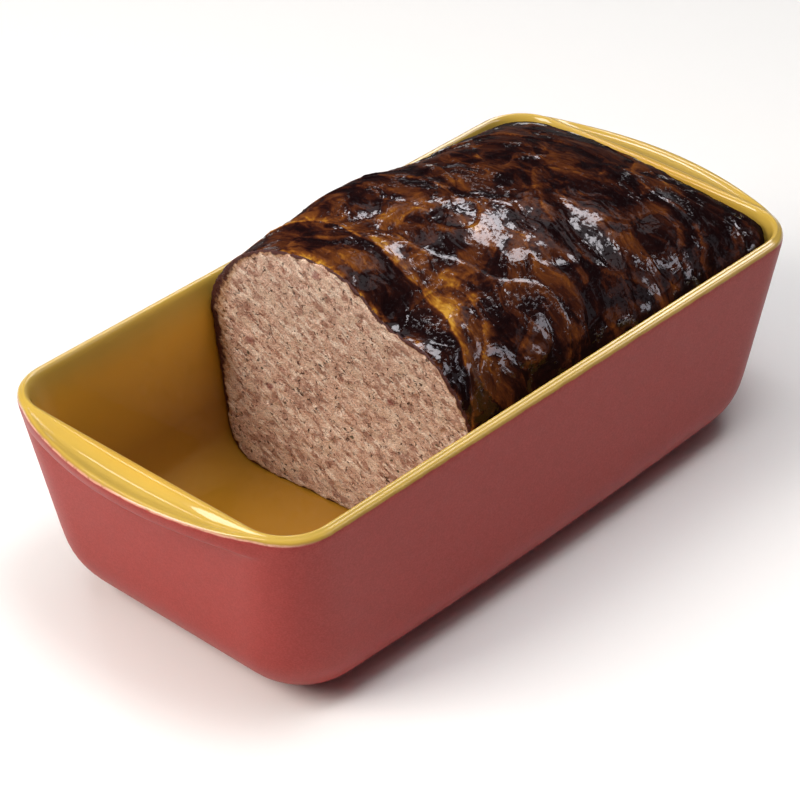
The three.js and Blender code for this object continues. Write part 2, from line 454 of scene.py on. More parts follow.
def overlap(p):
    """Place across a lapped sheet of caul fat: 0 at its edge, rising to 1 at the next edge."""
    q = warped(p, 30.0, 18.0, 3.7)
    level = 3.4 * noise.noise(Vector((q.x / 36.0 + 4, q.y / 64.0 + 2, q.z / 64.0 + 9)))
    return level % 1.0


def fold_height(p):
    """Height of the caul fat's laps, lumps and wrinkles: about -1 to 1, and more on the crown."""
    place = overlap(p)
    lap = smoothstep(0.0, 0.07, place) * (1 - place)
    q = warped(p, 11.0, 5.0, 8.1)
    across = noise.noise(Vector((q.x / 9.0, q.y / 22.0, q.z / 22.0)))
    strand = max(0.0, 1 - abs(noise.noise(Vector((q.x / 14.0 + 9, q.y / 30.0, q.z / 30.0)))) / 0.1)
    lumps = 0.55 * noise.noise(p / 19.0 + Vector((5, 1, 7)))
    lumps += 0.5 * noise.noise(Vector((p.x / 10.0 + 3, p.y / 13.0, p.z / 13.0)))
    lumps += 1.6 * (1 - smoothstep(0, LUMP_RADIUS, (p - LUMP_CENTRE).length))
    past = past_sheet_edge(p)
    hem = 0.7 * smoothstep(-0.5, 1.0, past) * (1 - smoothstep(1.0, 9.0, past))
    return 0.55 * lap + 0.3 * across + 0.3 * strand**2 + lumps + hem - 0.3


def grain_height(p):
    """Height of the ground meat's grain, which runs down towards the front of the dish."""
    along = p.y * math.cos(GRAIN_FALL) + p.z * math.sin(GRAIN_FALL)
    aside = p.z * math.cos(GRAIN_FALL) - p.y * math.sin(GRAIN_FALL)
    q = Vector((p.x / 3.0, aside / 2.2, along / 5.5))
    pit = max(0.0, noise.noise(p / 4.6 + Vector((2, 6, 1))) - 0.42)
    return 0.7 * noise.noise(q) + 0.35 * noise.noise(p / 1.5) - 5.0 * pit


class TERRINE_OT_loaf(bpy.types.Operator):
    """Build the loaf, with its crust of browned caul fat and its coarse cut face"""

    bl_idname = "terrine.loaf"
    bl_label = "Loaf"

    def execute(self, context):
        settings = context.scene.terrine_loaf
        # Without a seed of its own, the noise that warps the folds would start from the clock.
        noise.seed_set(NOISE_SEED)
        piece = new_piece("loaf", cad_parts["terrine_loaf"].data.copy())
        piece.data.materials.clear()
        bpy.ops.object.mode_set(mode="EDIT")
        bpy.ops.mesh.select_all(action="SELECT")
        bpy.ops.mesh.remove_doubles(threshold=0.01 * MM)
        bpy.ops.object.mode_set(mode="OBJECT")
        piece.data.remesh_voxel_size = settings.facet
        bpy.ops.object.voxel_remesh()

        crown = piece.vertex_groups.new(name="crown")
        for v in piece.data.vertices:
            p = v.co / MM
            weight = smoothstep(2, 7, past_cut(p)) * smoothstep(50, 66, p.z)
            crown.add([v.index], weight, "REPLACE")
        apply_modifier(
            piece, "SMOOTH", factor=0.5, iterations=CROWN_PASSES, vertex_group="crown"
        )

        # What is hidden gets few faces, and what is seen gets four for one.
        select_faces(piece, lambda p: past_cut(p) > 6 and p.z < HIDDEN_BELOW)
        bpy.ops.mesh.decimate(ratio=HIDDEN_SHARE)
        bpy.ops.object.mode_set(mode="OBJECT")
        select_faces(piece, lambda p: past_cut(p) < 4 or p.z > HIDDEN_BELOW + 2)
        bpy.ops.mesh.subdivide(number_cuts=1)
        bpy.ops.object.mode_set(mode="OBJECT")
        piece.vertex_groups.clear()
        apply_modifier(piece, "SMOOTH", factor=0.5, iterations=2)
        self.mark_rind(piece)
        self.mark_sheets(piece)
        self.raise_surface(piece, settings)
        bpy.ops.object.shade_smooth()
        piece.data.materials.append(browned_caul_fat(settings))
        piece.data.materials.append(cooked_ground_pork(settings))
        for polygon in piece.data.polygons:
            polygon.material_index = int(past_cut(polygon.center / MM) < CUT_DEPTH)
        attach(piece, "root")
        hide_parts("terrine_loaf")
        return {"FINISHED"}

    def mark_rind(self, piece):
        """Stores how deep each point of the cut face lies in the loaf, and the thickness of its dark
        skin band, which is partly painted shade where the loaf meets the dish.
        """
        vertices = piece.data.vertices
        edge = [v.co.copy() for v in vertices if 0.9 < past_cut(v.co / MM) < 2.0]
        tree = kdtree.KDTree(len(edge))
        for i, co in enumerate(edge):
            tree.insert(co, i)
        tree.balance()
        depths = []
        skins = []
        for v in vertices:
            p = v.co / MM
            near = tree.find_n(v.co, EDGE_POINTS)
            depth = sum(distance for _, _, distance in near) / len(near) / MM - EDGE_MEAN
            depths.append(0.0 if past_cut(p) > CUT_DEPTH else max(0.0, depth))
            # The band widens beside the back wall, most at the upper left; there it is skin and also
            # painted shade of the gap between loaf and wall.
            lobe = smoothstep(52, 60, p.y) * smoothstep(44, 54, p.z + 3 * noise.noise(p / 6.0))
            beside = smoothstep(40, 50, p.y) * smoothstep(12, 30, p.z)
            top = smoothstep(84, 98, p.z) * smoothstep(40, 20, p.y)
            skin_and_gap_shade = lerp(0.45, 0.1, top) + 0.5 * noise.noise(p / 8.0) + 0.6 * beside + 2.6 * lobe
            skins.append(max(0.1, skin_and_gap_shade))
        store(piece, "rind_mm", depths)
        store(piece, "skin_mm", skins)

    def mark_sheets(self, piece):
        """Stores where each point of the crust lies on its sheet of caul fat."""
        places = [v.co / MM for v in piece.data.vertices]
        store(piece, "lap", [overlap(p) for p in places])
        store(piece, "hem_mm", [past_sheet_edge(p) for p in places])
        store(piece, "cut_mm", [past_cut(p) for p in places])

    def raise_surface(self, piece, settings):
        """Moves the surface out and in along its normals: folds on the crust, grain on the cut."""
        mesh = piece.data
        normals = [v.normal.copy() for v in mesh.vertices]
        for v, normal in zip(mesh.vertices, normals):
            p = v.co / MM
            depth = past_cut(p)
            if depth < CUT_DEPTH:
                v.co += normal * (settings.grain_depth * grain_height(p))
            elif p.z > HIDDEN_BELOW:
                wall = shell_point((1, 1, 0, 1), p.z, WALL).y - abs(p.y)
                end = shell_point((1, 0, 1, 0), p.z, WALL).x - p.x
                room = smoothstep(0.0, 6.0, min(wall, end)) * smoothstep(0.5, 4, depth)
                height = fold_height(p) * lerp(0.25, 1.0, room)
                if room < 1:
                    height = min(height, lerp(0.1, height, room))
                v.co += normal * (settings.fold_height * height)
        mesh.update()


# ---------------------------------------------------------------- materials


def add_node(tree, kind, inputs=None, stops=None, **settings):
    """Adds a shader node. An input given another node's output is linked, any other is set."""
    node = tree.nodes.new("ShaderNode" + kind)
    for key, value in settings.items():
        setattr(node, key, value)
    for key, value in (inputs or {}).items():
        if isinstance(value, bpy.types.NodeSocket):
            tree.links.new(value, node.inputs[key])
        else:
            node.inputs[key].default_value = value
    for i, (position, value) in enumerate(stops or ()):
        elements = node.color_ramp.elements
        element = elements[i] if i < len(elements) else elements.new(position)
        element.position, element.color = position, value
    return node


def new_material(name):
    """An empty material, and add_node for its own tree."""
    material = bpy.data.materials.new(name)
    material.use_nodes = True
    material.node_tree.nodes.clear()
    return material, partial(add_node, material.node_tree)


def per_mm(size):
    """The texture scale that makes features about size millimetres wide, on coordinates in metres."""
    return 1 / (size * MM)


def glazed_earthenware(settings):
    """Earthenware dipped in two glazes: satin brick red outside, glossy ochre yellow inside.

    The yellow glaze lies thicker and deeper inside, and runs thin and brown where it ends.
    """
    material, node = new_material("glazed_earthenware")
    place = node("TexCoord").outputs["Object"]
    split = node("SeparateXYZ", {0: place})
    past = node("Attribute", attribute_name="glaze_mm").outputs["Fac"]
    waver = node(
        "TexNoise", {"Vector": place, "Scale": per_mm(7), "Detail": 5.0, "Roughness": 0.6}
    ).outputs["Fac"]
    # The glaze line wanders by less than half a millimetre. This is about 0.5 on the line.
    line = node("Math", {0: waver, 1: 1.0, 2: past}, operation="MULTIPLY_ADD").outputs[0]
    is_yellow = node("MapRange", {"Value": line, "From Min": 0.4, "From Max": 0.65}).outputs[0]
    mottle = node(
        "TexNoise", {"Vector": place, "Scale": per_mm(4), "Detail": 6.0, "Roughness": 0.65}
    ).outputs["Fac"]
    cloud = node("TexNoise", {"Vector": place, "Scale": per_mm(40), "Detail": 3.0}).outputs["Fac"]
    # Fine grit shows in the red glaze, about 0.7 mm coarse like the clay's.
    grit = node("TexNoise", {"Vector": place, "Scale": per_mm(0.7), "Detail": 2.0}).outputs["Fac"]

    red_tone = node("Math", {0: mottle, 1: 0.35, 2: grit}, operation="MULTIPLY_ADD").outputs[0]
    red = node(
        "ValToRGB",
        {"Fac": red_tone},
        stops=[(0.5, srgb("8d2e27")), (0.675, tuple(settings.outer_glaze)), (0.85, srgb("9e3a34"))],
    ).outputs["Color"]
    deep = node(
        "MapRange", {"Value": past, "From Min": 7.0, "From Max": 24.0}, interpolation_type="SMOOTHSTEP"
    ).outputs[0]
    yellow = node(
        "Mix", {0: deep, 6: tuple(settings.rim_glaze), 7: tuple(settings.inner_glaze)}, data_type="RGBA"
    ).outputs[2]
    # Painted shade: further down the inner walls and over the floor the yellow is darkened and browned,
    # as the walls keep light from the bottom of the dish.
    down = node("Math", {0: past, 1: 0.01}, operation="MULTIPLY").outputs[0]
    floor_shade = node(
        "ValToRGB",
        {"Fac": down},
        stops=[
            (0.12, srgb("ffffff")),
            (0.36, srgb("d8d4cf")),
            (0.6, srgb("aba0aa")),
            (0.85, srgb("b2a7a0")),
            (1.0, srgb("b4a89e")),
        ],
    ).outputs["Color"]
    yellow = node(
        "Mix", {0: 1.0, 6: yellow, 7: floor_shade}, data_type="RGBA", blend_type="MULTIPLY"
    ).outputs[2]
    shade = node(
        "MapRange", {"Value": cloud, "From Min": 0.3, "From Max": 0.7, "To Min": 0.94, "To Max": 1.05}
    ).outputs[0]
    yellow = node(
        "Mix", {0: 1.0, 6: yellow, 7: shade}, data_type="RGBA", blend_type="MULTIPLY"
    ).outputs[2]
    # The last millimetre and a half of the yellow runs thin, and the brown body shows through.
    thin = node(
        "MapRange", {"Value": line, "From Min": 0.5, "From Max": 2.0, "To Min": 0.75, "To Max": 0.0}
    ).outputs[0]
    yellow = node("Mix", {0: thin, 6: yellow, 7: srgb("86581f")}, data_type="RGBA").outputs[2]
    base = node("Mix", {0: is_yellow, 6: red, 7: yellow}, data_type="RGBA").outputs[2]
    # On the outer edge of the grips both glazes are worn thin to a pale line, which is also a painted
    # highlight along the lip.
    end = node("Math", {0: split.outputs["X"]}, operation="ABSOLUTE").outputs[0]
    end = node("MapRange", {"Value": end, "From Min": 128 * MM, "From Max": 142 * MM}).outputs[0]
    edge = node(
        "ValToRGB",
        {"Fac": node("Math", {0: line, 1: 0.2, 2: 0.4}, operation="MULTIPLY_ADD").outputs[0]},
        stops=[
            (0.4, srgb("000000")),
            (0.47, srgb("ffffff")),
            (0.55, srgb("ffffff")),
            (0.64, srgb("000000")),
        ],
    ).outputs["Color"]
    patchy = node(
        "MapRange", {"Value": mottle, "From Min": 0.36, "From Max": 0.5, "To Min": 0.25, "To Max": 0.8}
    ).outputs[0]
    worn_lip_highlight = node("Math", {0: end, 1: edge}, operation="MULTIPLY").outputs[0]
    worn_lip_highlight = node("Math", {0: worn_lip_highlight, 1: patchy}, operation="MULTIPLY").outputs[0]
    base = node("Mix", {0: worn_lip_highlight, 6: base, 7: srgb("dca58c")}, data_type="RGBA").outputs[2]
    # Fired glaze has a faint orange peel, 6 mm wide and under a tenth of a millimetre deep.
    peel = node("TexNoise", {"Vector": place, "Scale": per_mm(6), "Detail": 1.0}).outputs["Fac"]
    normal = node("Bump", {"Height": peel, "Distance": 0.1 * MM, "Strength": 0.6}).outputs[0]
    rough = node("MapRange", {"Value": is_yellow, "To Min": 0.42, "To Max": 0.3}).outputs[0]
    # The empty half's long rims are handled most, and duller.
    beside = node("Math", {0: split.outputs["Y"]}, operation="ABSOLUTE").outputs[0]
    beside = node("MapRange", {"Value": beside, "From Min": 64 * MM, "From Max": 69 * MM}).outputs[0]
    dull = node(
        "MapRange",
        {
            "Value": split.outputs["X"],
            "From Min": 0.0,
            "From Max": 50 * MM,
            "To Min": 0.7,
            "To Max": 0.0,
        },
    ).outputs[0]
    dull = node("Math", {0: dull, 1: beside}, operation="MULTIPLY").outputs[0]
    dull = node("Math", {0: 1.0, 1: dull}, operation="SUBTRACT").outputs[0]
    gloss = node("Math", {0: is_yellow, 1: dull}, operation="MULTIPLY").outputs[0]
    bsdf = node(
        "BsdfPrincipled",
        {
            "Base Color": base,
            "Roughness": rough,
            "Normal": normal,
            "IOR": 1.5,
            "Specular IOR Level": 0.2,
            "Coat Weight": gloss,
            "Coat Roughness": 0.035,
            "Coat IOR": 1.5,
            "Coat Normal": normal,
        },
    )
    node("OutputMaterial", {"Surface": bsdf.outputs[0]})
    return material


def browned_caul_fat(settings):
    """Caul fat roasted over meat juices: amber fat where it is thin, near-black crust elsewhere.

    Jelly and melted fat lie on it, so it mirrors a light sharply in the pools and breaks the
    reflection up where the crust is blistered.
    """
    material, node = new_material("browned_caul_fat")
    place = node("TexCoord").outputs["Object"]
    lap = node("Attribute", attribute_name="lap").outputs["Fac"]
    hem = node("Attribute", attribute_name="hem_mm").outputs["Fac"]
    cut = node("Attribute", attribute_name="cut_mm").outputs["Fac"]
    split = node("SeparateXYZ", {0: place})
    # Coordinates bent by up to 12 mm, then drawn out across the loaf and bent again by up to 2 mm.
    push = node("TexNoise", {"Vector": place, "Scale": per_mm(30), "Detail": 2.0}).outputs["Color"]
    bent = node(
        "VectorMath", {0: push, 1: (24 * MM,) * 3, 2: place}, operation="MULTIPLY_ADD"
    ).outputs[0]
    drawn = node("Mapping", {"Vector": bent, "Scale": (1.0, 0.35, 0.35)}).outputs[0]
    push = node("TexNoise", {"Vector": bent, "Scale": per_mm(8), "Detail": 3.0}).outputs["Color"]
    drawn = node(
        "VectorMath", {0: push, 1: (4 * MM,) * 3, 2: drawn}, operation="MULTIPLY_ADD"
    ).outputs[0]

    flame = node(
        "TexNoise", {"Vector": drawn, "Scale": per_mm(8), "Detail": 6.0, "Roughness": 0.62}
    ).outputs["Fac"]
    broad = node(
        "TexNoise", {"Vector": bent, "Scale": per_mm(24), "Detail": 3.0, "Roughness": 0.55}
    ).outputs["Fac"]
    fibre = node(
        "TexNoise", {"Vector": drawn, "Scale": per_mm(1.5), "Detail": 4.0, "Roughness": 0.7}
    ).outputs["Fac"]
    # Where the membrane lies double or juice has burnt on, it is nearly black, in spots of 4 to 10 mm.
    burnt = node(
        "TexNoise", {"Vector": bent, "Scale": per_mm(10), "Detail": 4.0, "Roughness": 0.5}
    ).outputs["Fac"]
    burnt = node(
        "MapRange", {"Value": burnt, "From Min": 0.49, "From Max": 0.6, "To Max": -0.3}
    ).outputs[0]
    # The lace of fat in the membrane: strands 1 or 2 mm wide, round cells 14 mm long that are
    # drawn out across the loaf.
    lace = node(
        "TexVoronoi", {"Vector": drawn, "Scale": per_mm(14)}, feature="DISTANCE_TO_EDGE"
    ).outputs["Distance"]
    strand = node(
        "MapRange", {"Value": lace, "From Min": 0.0, "From Max": 0.07, "To Min": 0.12, "To Max": 0.0}
    ).outputs[0]
    # A lapped sheet, and the sheet that ends short of the cut, are bright just behind their raised
    # edges; the dark line in the crease in front of each edge is painted shade.
    lapped = node(
        "ValToRGB",
        {"Fac": lap},
        stops=[
            (0.0, srgb("d0d0d0")),
            (0.05, srgb("ffffff")),
            (0.5, srgb("808080")),
            (0.94, srgb("787878")),
            (0.98, srgb("303030")),
        ],
    ).outputs["Color"]
    hemmed = node(
        "ValToRGB",
        {"Fac": node("MapRange", {"Value": hem, "From Min": -20.0, "From Max": 30.0}).outputs[0]},
        stops=[
            (0.0, srgb("8a8a8a")),
            (0.3, srgb("5c5c5c")),
            (0.385, srgb("303030")),
            (0.4, srgb("000000")),
            (0.415, srgb("ececec")),
            (0.5, srgb("d6d6d6")),
            (0.68, srgb("a8a8a8")),
            (1.0, srgb("888888")),
        ],
    ).outputs["Color"]
    far = node(
        "MapRange",
        {
            "Value": split.outputs["X"],
            "From Min": -40 * MM,
            "From Max": 130 * MM,
            "To Min": 0.43,
            "To Max": 0.25,
        },
    ).outputs[0]
    # Painted shade: the crust is darker low down, where it meets the walls of the dish.
    low = node(
        "MapRange",
        {
            "Value": split.outputs["Z"],
            "From Min": 82 * MM,
            "From Max": 112 * MM,
            "To Min": -0.13,
            "To Max": 0.0,
        },
    ).outputs[0]
    # Along the cut the membrane is torn, and amber fat shows in places.
    torn = node(
        "MapRange", {"Value": cut, "From Min": 1.5, "From Max": 4.5, "To Min": 1.0, "To Max": 0.0}
    ).outputs[0]
    fringe = node(
        "TexNoise", {"Vector": place, "Scale": per_mm(7), "Detail": 4.0, "Roughness": 0.6}
    ).outputs["Fac"]
    fringe = node(
        "MapRange", {"Value": fringe, "From Min": 0.42, "From Max": 0.66, "To Min": 0.0, "To Max": 0.6}
    ).outputs[0]
    torn = node("Math", {0: torn, 1: fringe}, operation="MULTIPLY").outputs[0]
    # In front of the sheet's edge the membrane has burnt black on the side, less over the top.
    before = node(
        "MapRange", {"Value": hem, "From Min": -2.5, "From Max": 0.0, "To Min": -0.17, "To Max": 0.0}
    ).outputs[0]
    side = node(
        "MapRange",
        {
            "Value": split.outputs["Y"],
            "From Min": -14 * MM,
            "From Max": 4 * MM,
            "To Min": 1.0,
            "To Max": 0.2,
        },
    ).outputs[0]
    before = node("Math", {0: before, 1: side}, operation="MULTIPLY").outputs[0]
    tone = far
    for part in (low, before, torn, strand, burnt):
        tone = node("Math", {0: part, 1: tone}, operation="ADD").outputs[0]
    for pattern, weight in ((flame, 0.95), (broad, 0.7), (fibre, 0.55), (lapped, 0.25), (hemmed, 0.6)):
        centre = 0.22 if pattern in (lapped, hemmed) else 0.5
        tone = node("Math", {0: pattern, 1: weight, 2: tone}, operation="MULTIPLY_ADD").outputs[0]
        tone = node("Math", {0: tone, 1: weight * centre}, operation="SUBTRACT").outputs[0]
    base = node(
        "ValToRGB",
        {"Fac": tone},
        stops=[
            (0.05, srgb("15090a")),
            (0.25, tuple(settings.crust)),
            (0.4, srgb("381a11")),
            (0.55, srgb("532b16")),
            (0.7, srgb("6f3e1a")),
            (0.84, tuple(settings.amber)),
            (1.0, srgb("b98834")),
        ],
    ).outputs["Color"]

    # Jelly lies on the crust in pools up to 15 mm across with ragged edges. They are widest over
    # the near half, narrowest past the crown and a little wider again at the far end, and they
    # are narrow low beside the walls.
    film = node(
        "TexNoise", {"Vector": bent, "Scale": per_mm(14), "Detail": 7.0, "Roughness": 0.7}
    ).outputs["Fac"]
    along = node(
        "Math", {0: split.outputs["Y"], 1: -0.6, 2: split.outputs["X"]}, operation="MULTIPLY_ADD"
    ).outputs[0]
    along = node("MapRange", {"Value": along, "From Min": 0.0, "From Max": 200 * MM}).outputs[0]
    thin = node(
        "ValToRGB",
        {"Fac": along},
        stops=[(0.22, (1.0,) * 4), (0.3, (0.0,) * 4), (0.5, (0.0,) * 4), (0.6, (0.35,) * 4)],
    ).outputs["Color"]
    thin = node("Math", {0: thin, 1: 0.1, 2: -0.09}, operation="MULTIPLY_ADD").outputs[0]
    beside = node(
        "MapRange",
        {
            "Value": split.outputs["Z"],
            "From Min": 78 * MM,
            "From Max": 86 * MM,
            "To Min": -0.05,
            "To Max": 0.0,
        },
    ).outputs[0]
    # The top near the cut and the slope behind are drier too.
    behind = node(
        "Math", {0: split.outputs["X"], 1: -0.6, 2: split.outputs["Y"]}, operation="MULTIPLY_ADD"
    ).outputs[0]
    behind = node(
        "MapRange",
        {"Value": behind, "From Min": -6 * MM, "From Max": 8 * MM, "To Min": 0.0, "To Max": -0.08},
    ).outputs[0]
    for part in (thin, beside, behind):
        film = node("Math", {0: film, 1: part}, operation="ADD").outputs[0]
    wet = node(
        "MapRange", {"Value": film, "From Min": 0.5, "From Max": 0.52, "To Min": 0.06, "To Max": 1.0}
    ).outputs[0]
    ripple = node(
        "TexNoise", {"Vector": bent, "Scale": per_mm(5), "Detail": 2.0, "Roughness": 0.4}
    ).outputs["Fac"]
    blister = node(
        "TexNoise", {"Vector": place, "Scale": per_mm(1.6), "Detail": 4.0, "Roughness": 0.6}
    ).outputs["Fac"]
    blister = node("MapRange", {"Value": blister, "From Min": 0.56, "From Max": 0.8}).outputs[0]
    normal = node("Bump", {"Height": ripple, "Distance": 0.35 * MM}).outputs[0]
    normal = node("Bump", {"Height": blister, "Distance": 0.18 * MM, "Normal": normal}).outputs[0]
    bsdf = node(
        "BsdfPrincipled",
        {
            "Base Color": base,
            "Roughness": 0.55,
            "Normal": normal,
            "IOR": 1.45,
            "Specular IOR Level": 0.0,
            "Coat Weight": wet,
            "Coat Roughness": 0.03,
            "Coat IOR": 1.45,
            "Coat Normal": normal,
        },
    )
    node("OutputMaterial", {"Surface": bsdf.outputs[0]})
    return material


def cooked_ground_pork(settings):
    """Coarsely ground pork, cooked and sliced: matt and moist, with fat, lean, herbs and pepper."""
    material, node = new_material("cooked_ground_pork")
    place = node("TexCoord").outputs["Object"]
    rind = node("Attribute", attribute_name="rind_mm").outputs["Fac"]
    thickness = node("Attribute", attribute_name="skin_mm").outputs["Fac"]
    rind = node("Math", {0: rind, 1: thickness}, operation="DIVIDE").outputs[0]
    push = node("TexNoise", {"Vector": place, "Scale": per_mm(5), "Detail": 3.0}).outputs["Color"]
    soft = node(
        "VectorMath", {0: push, 1: (3 * MM,) * 3, 2: place}, operation="MULTIPLY_ADD"
    ).outputs[0]
    # The meat is pressed in layers, so its grain falls towards the front and is drawn out.
    turn = (GRAIN_FALL, 0.0, 0.0)
    grain = node(
        "Mapping", {"Vector": soft, "Rotation": turn, "Scale": (1.0, 2.6, 1.0)}, vector_type="TEXTURE"
    ).outputs[0]
    crumbs = node(
        "Mapping", {"Vector": soft, "Rotation": turn, "Scale": (1.0, 1.25, 1.0)}, vector_type="TEXTURE"
    ).outputs[0]

    # The ground pieces, about 3 mm by 4 mm with ragged outlines, each leaner or fatter than the next.
    push = node("TexNoise", {"Vector": crumbs, "Scale": per_mm(1.3), "Detail": 2.0}).outputs["Color"]
    ragged = node(
        "VectorMath", {0: push, 1: (1.6 * MM,) * 3, 2: crumbs}, operation="MULTIPLY_ADD"
    ).outputs[0]
    mince = node("TexVoronoi", {"Vector": ragged, "Scale": per_mm(3.4)}, feature="F1").outputs["Color"]
    mince = node("SeparateColor", {0: mince})
    between = node(
        "TexVoronoi", {"Vector": ragged, "Scale": per_mm(3.4)}, feature="DISTANCE_TO_EDGE"
    ).outputs["Distance"]
    fibre = node(
        "TexNoise", {"Vector": crumbs, "Scale": per_mm(0.7), "Detail": 2.0, "Roughness": 0.75}
    ).outputs["Fac"]
    patch = node(
        "TexNoise", {"Vector": grain, "Scale": per_mm(2.6), "Detail": 4.0, "Roughness": 0.65}
    ).outputs["Fac"]
    tone = node("Math", {0: mince.outputs[0], 1: 0.34, 2: -2.38}, operation="MULTIPLY_ADD").outputs[0]
    for pattern, weight in ((fibre, 2.9), (patch, 3.2)):
        tone = node("Math", {0: pattern, 1: weight, 2: tone}, operation="MULTIPLY_ADD").outputs[0]
    meat = node(
        "ValToRGB",
        {"Fac": tone},
        stops=[
            (0.0, srgb("7d5646")),
            (0.26, tuple(settings.lean)),
            (0.44, srgb("c99e8a")),
            (0.62, srgb("d5ae9a")),
            (0.85, tuple(settings.fat)),
        ],
    ).outputs["Color"]
    # The lean is pinker in some places and greyer in others.
    blush = node("TexNoise", {"Vector": crumbs, "Scale": per_mm(4), "Detail": 3.0}).outputs["Fac"]
    blush = node(
        "MapRange", {"Value": blush, "From Min": 0.5, "From Max": 0.6, "To Max": 0.7}
    ).outputs[0]
    # Soft pale lumps where the meat is fatter, drawn out along the grain.
    pale = node(
        "TexNoise", {"Vector": grain, "Scale": per_mm(2.2), "Detail": 4.0, "Roughness": 0.6}
    ).outputs["Fac"]
    pale = node(
        "MapRange", {"Value": pale, "From Min": 0.52, "From Max": 0.6, "To Max": 0.9}
    ).outputs[0]
    # One piece in eight or so is plain fat.
    lump = node(
        "MapRange", {"Value": mince.outputs[1], "From Min": 0.86, "From Max": 0.9, "To Max": 0.6}
    ).outputs[0]
    for share, tint in ((blush, "9f7262"), (pale, "f6dfcd"), (lump, "e6cab4")):
        meat = node("Mix", {0: share, 6: meat, 7: srgb(tint)}, data_type="RGBA").outputs[2]
    # The cut fibres themselves, half a millimetre wide.
    thread = node("TexNoise", {"Vector": crumbs, "Scale": per_mm(0.45), "Detail": 1.0}).outputs["Fac"]
    thread = node(
        "MapRange", {"Value": thread, "From Min": 0.3, "From Max": 0.7, "To Min": 0.72, "To Max": 1.24}
    ).outputs[0]
    meat = node("Mix", {0: 1.0, 6: meat, 7: thread}, data_type="RGBA", blend_type="MULTIPLY").outputs[2]
    # Some gaps between the pieces are open, in broken strings, and painted dark as the shade inside
    # them.
    gap = node(
        "MapRange", {"Value": between, "From Min": 0.02, "From Max": 0.1, "To Min": 1.0, "To Max": 0.0}
    ).outputs[0]
    broken = node(
        "TexNoise", {"Vector": place, "Scale": per_mm(2.2), "Detail": 4.0, "Roughness": 0.65}
    ).outputs["Fac"]
    broken = node("MapRange", {"Value": broken, "From Min": 0.56, "From Max": 0.63}).outputs[0]
    gap = node("Math", {0: gap, 1: broken}, operation="MULTIPLY").outputs[0]
    # Cracked pepper and herbs: specks up to about a millimetre across, in loose groups.
    seed = node("TexVoronoi", {"Vector": ragged, "Scale": per_mm(2.1)}, feature="F1")
    chosen = node("SeparateColor", {0: seed.outputs["Color"]})
    crowd = node(
        "TexNoise", {"Vector": grain, "Scale": per_mm(6), "Detail": 3.0, "Roughness": 0.6}
    ).outputs["Fac"]
    crowd = node(
        "MapRange", {"Value": crowd, "From Min": 0.42, "From Max": 0.6, "To Min": -0.3, "To Max": 0.12}
    ).outputs[0]
    crowd = node("Math", {0: chosen.outputs[0], 1: crowd}).outputs[0]
    size = node(
        "MapRange", {"Value": crowd, "From Min": 0.76, "From Max": 1.05, "To Max": 0.34}
    ).outputs[0]
    speck = node("Math", {0: size, 1: seed.outputs["Distance"]}, operation="SUBTRACT").outputs[0]
    speck = node(
        "MapRange", {"Value": speck, "From Min": 0.0, "From Max": 0.06, "To Max": 0.9}
    ).outputs[0]
    herb = node(
        "Mix", {0: chosen.outputs[1], 6: srgb("33221a"), 7: srgb("55503a")}, data_type="RGBA"
    ).outputs[2]
    # A few ragged air holes 1 to 3 mm across, painted deep brown inside as shade.
    hole = node(
        "TexNoise", {"Vector": crumbs, "Scale": per_mm(3.5), "Detail": 5.0, "Roughness": 0.7}
    ).outputs["Fac"]
    hole = node(
        "MapRange", {"Value": hole, "From Min": 0.325, "From Max": 0.35, "To Min": 0.9, "To Max": 0.0}
    ).outputs[0]
    open_gap = node("Math", {0: hole, 1: gap}, operation="MAXIMUM").outputs[0]
    # A few pieces of cured meat, 3 to 4 mm across, stay red.
    cured = node("TexVoronoi", {"Vector": soft, "Scale": per_mm(9)}, feature="F1")
    lot = node("SeparateColor", {0: cured.outputs["Color"]}).outputs[2]
    lot = node("Math", {0: lot, 1: 0.86}, operation="GREATER_THAN").outputs[0]
    near = node(
        "MapRange",
        {"Value": cured.outputs["Distance"], "From Min": 0.26, "From Max": 0.12, "To Max": 0.7},
    ).outputs[0]
    is_cured = node("Math", {0: lot, 1: near}, operation="MULTIPLY").outputs[0]
    # The skin round the cut: dark brown outside, then a fatty amber edge. Where the loaf meets the
    # dish, along the bottom and at the left edge against the back wall, the dark band is also painted
    # shade.
    uneven = node("TexNoise", {"Vector": place, "Scale": per_mm(2.4), "Detail": 4.0}).outputs["Fac"]
    depth = node("Math", {0: uneven, 1: 1.6, 2: rind}, operation="MULTIPLY_ADD").outputs[0]
    fatty = node(
        "MapRange", {"Value": depth, "From Min": 1.5, "From Max": 3.0, "To Min": 0.65, "To Max": 0.0}
    ).outputs[0]
    skin_and_gap_shade = node(
        "MapRange", {"Value": depth, "From Min": 1.25, "From Max": 1.65, "To Min": 1.0, "To Max": 0.0}
    ).outputs[0]
    for share, tint in (
        (gap, srgb("513628")),
        (speck, herb),
        (hole, srgb("43231b")),
        (is_cured, srgb("8a4643")),
        (fatty, srgb("a5743f")),
        (skin_and_gap_shade, srgb("4c2620")),
    ):
        meat = node("Mix", {0: share, 6: meat, 7: tint}, data_type="RGBA").outputs[2]

    normal = node("Bump", {"Height": tone, "Distance": 0.3 * MM, "Strength": 0.8}).outputs[0]
    sunk = node("Math", {0: open_gap, 1: -1.0}, operation="MULTIPLY").outputs[0]
    normal = node(
        "Bump", {"Height": sunk, "Distance": 0.5 * MM, "Strength": 0.8, "Normal": normal}
    ).outputs[0]
    bsdf = node(
        "BsdfPrincipled",
        {
            "Base Color": meat,
            "Roughness": 0.5,
            "Normal": normal,
            "IOR": 1.4,
            "Specular IOR Level": 0.35,
        },
    )
    node("OutputMaterial", {"Surface": bsdf.outputs[0]})
    return material


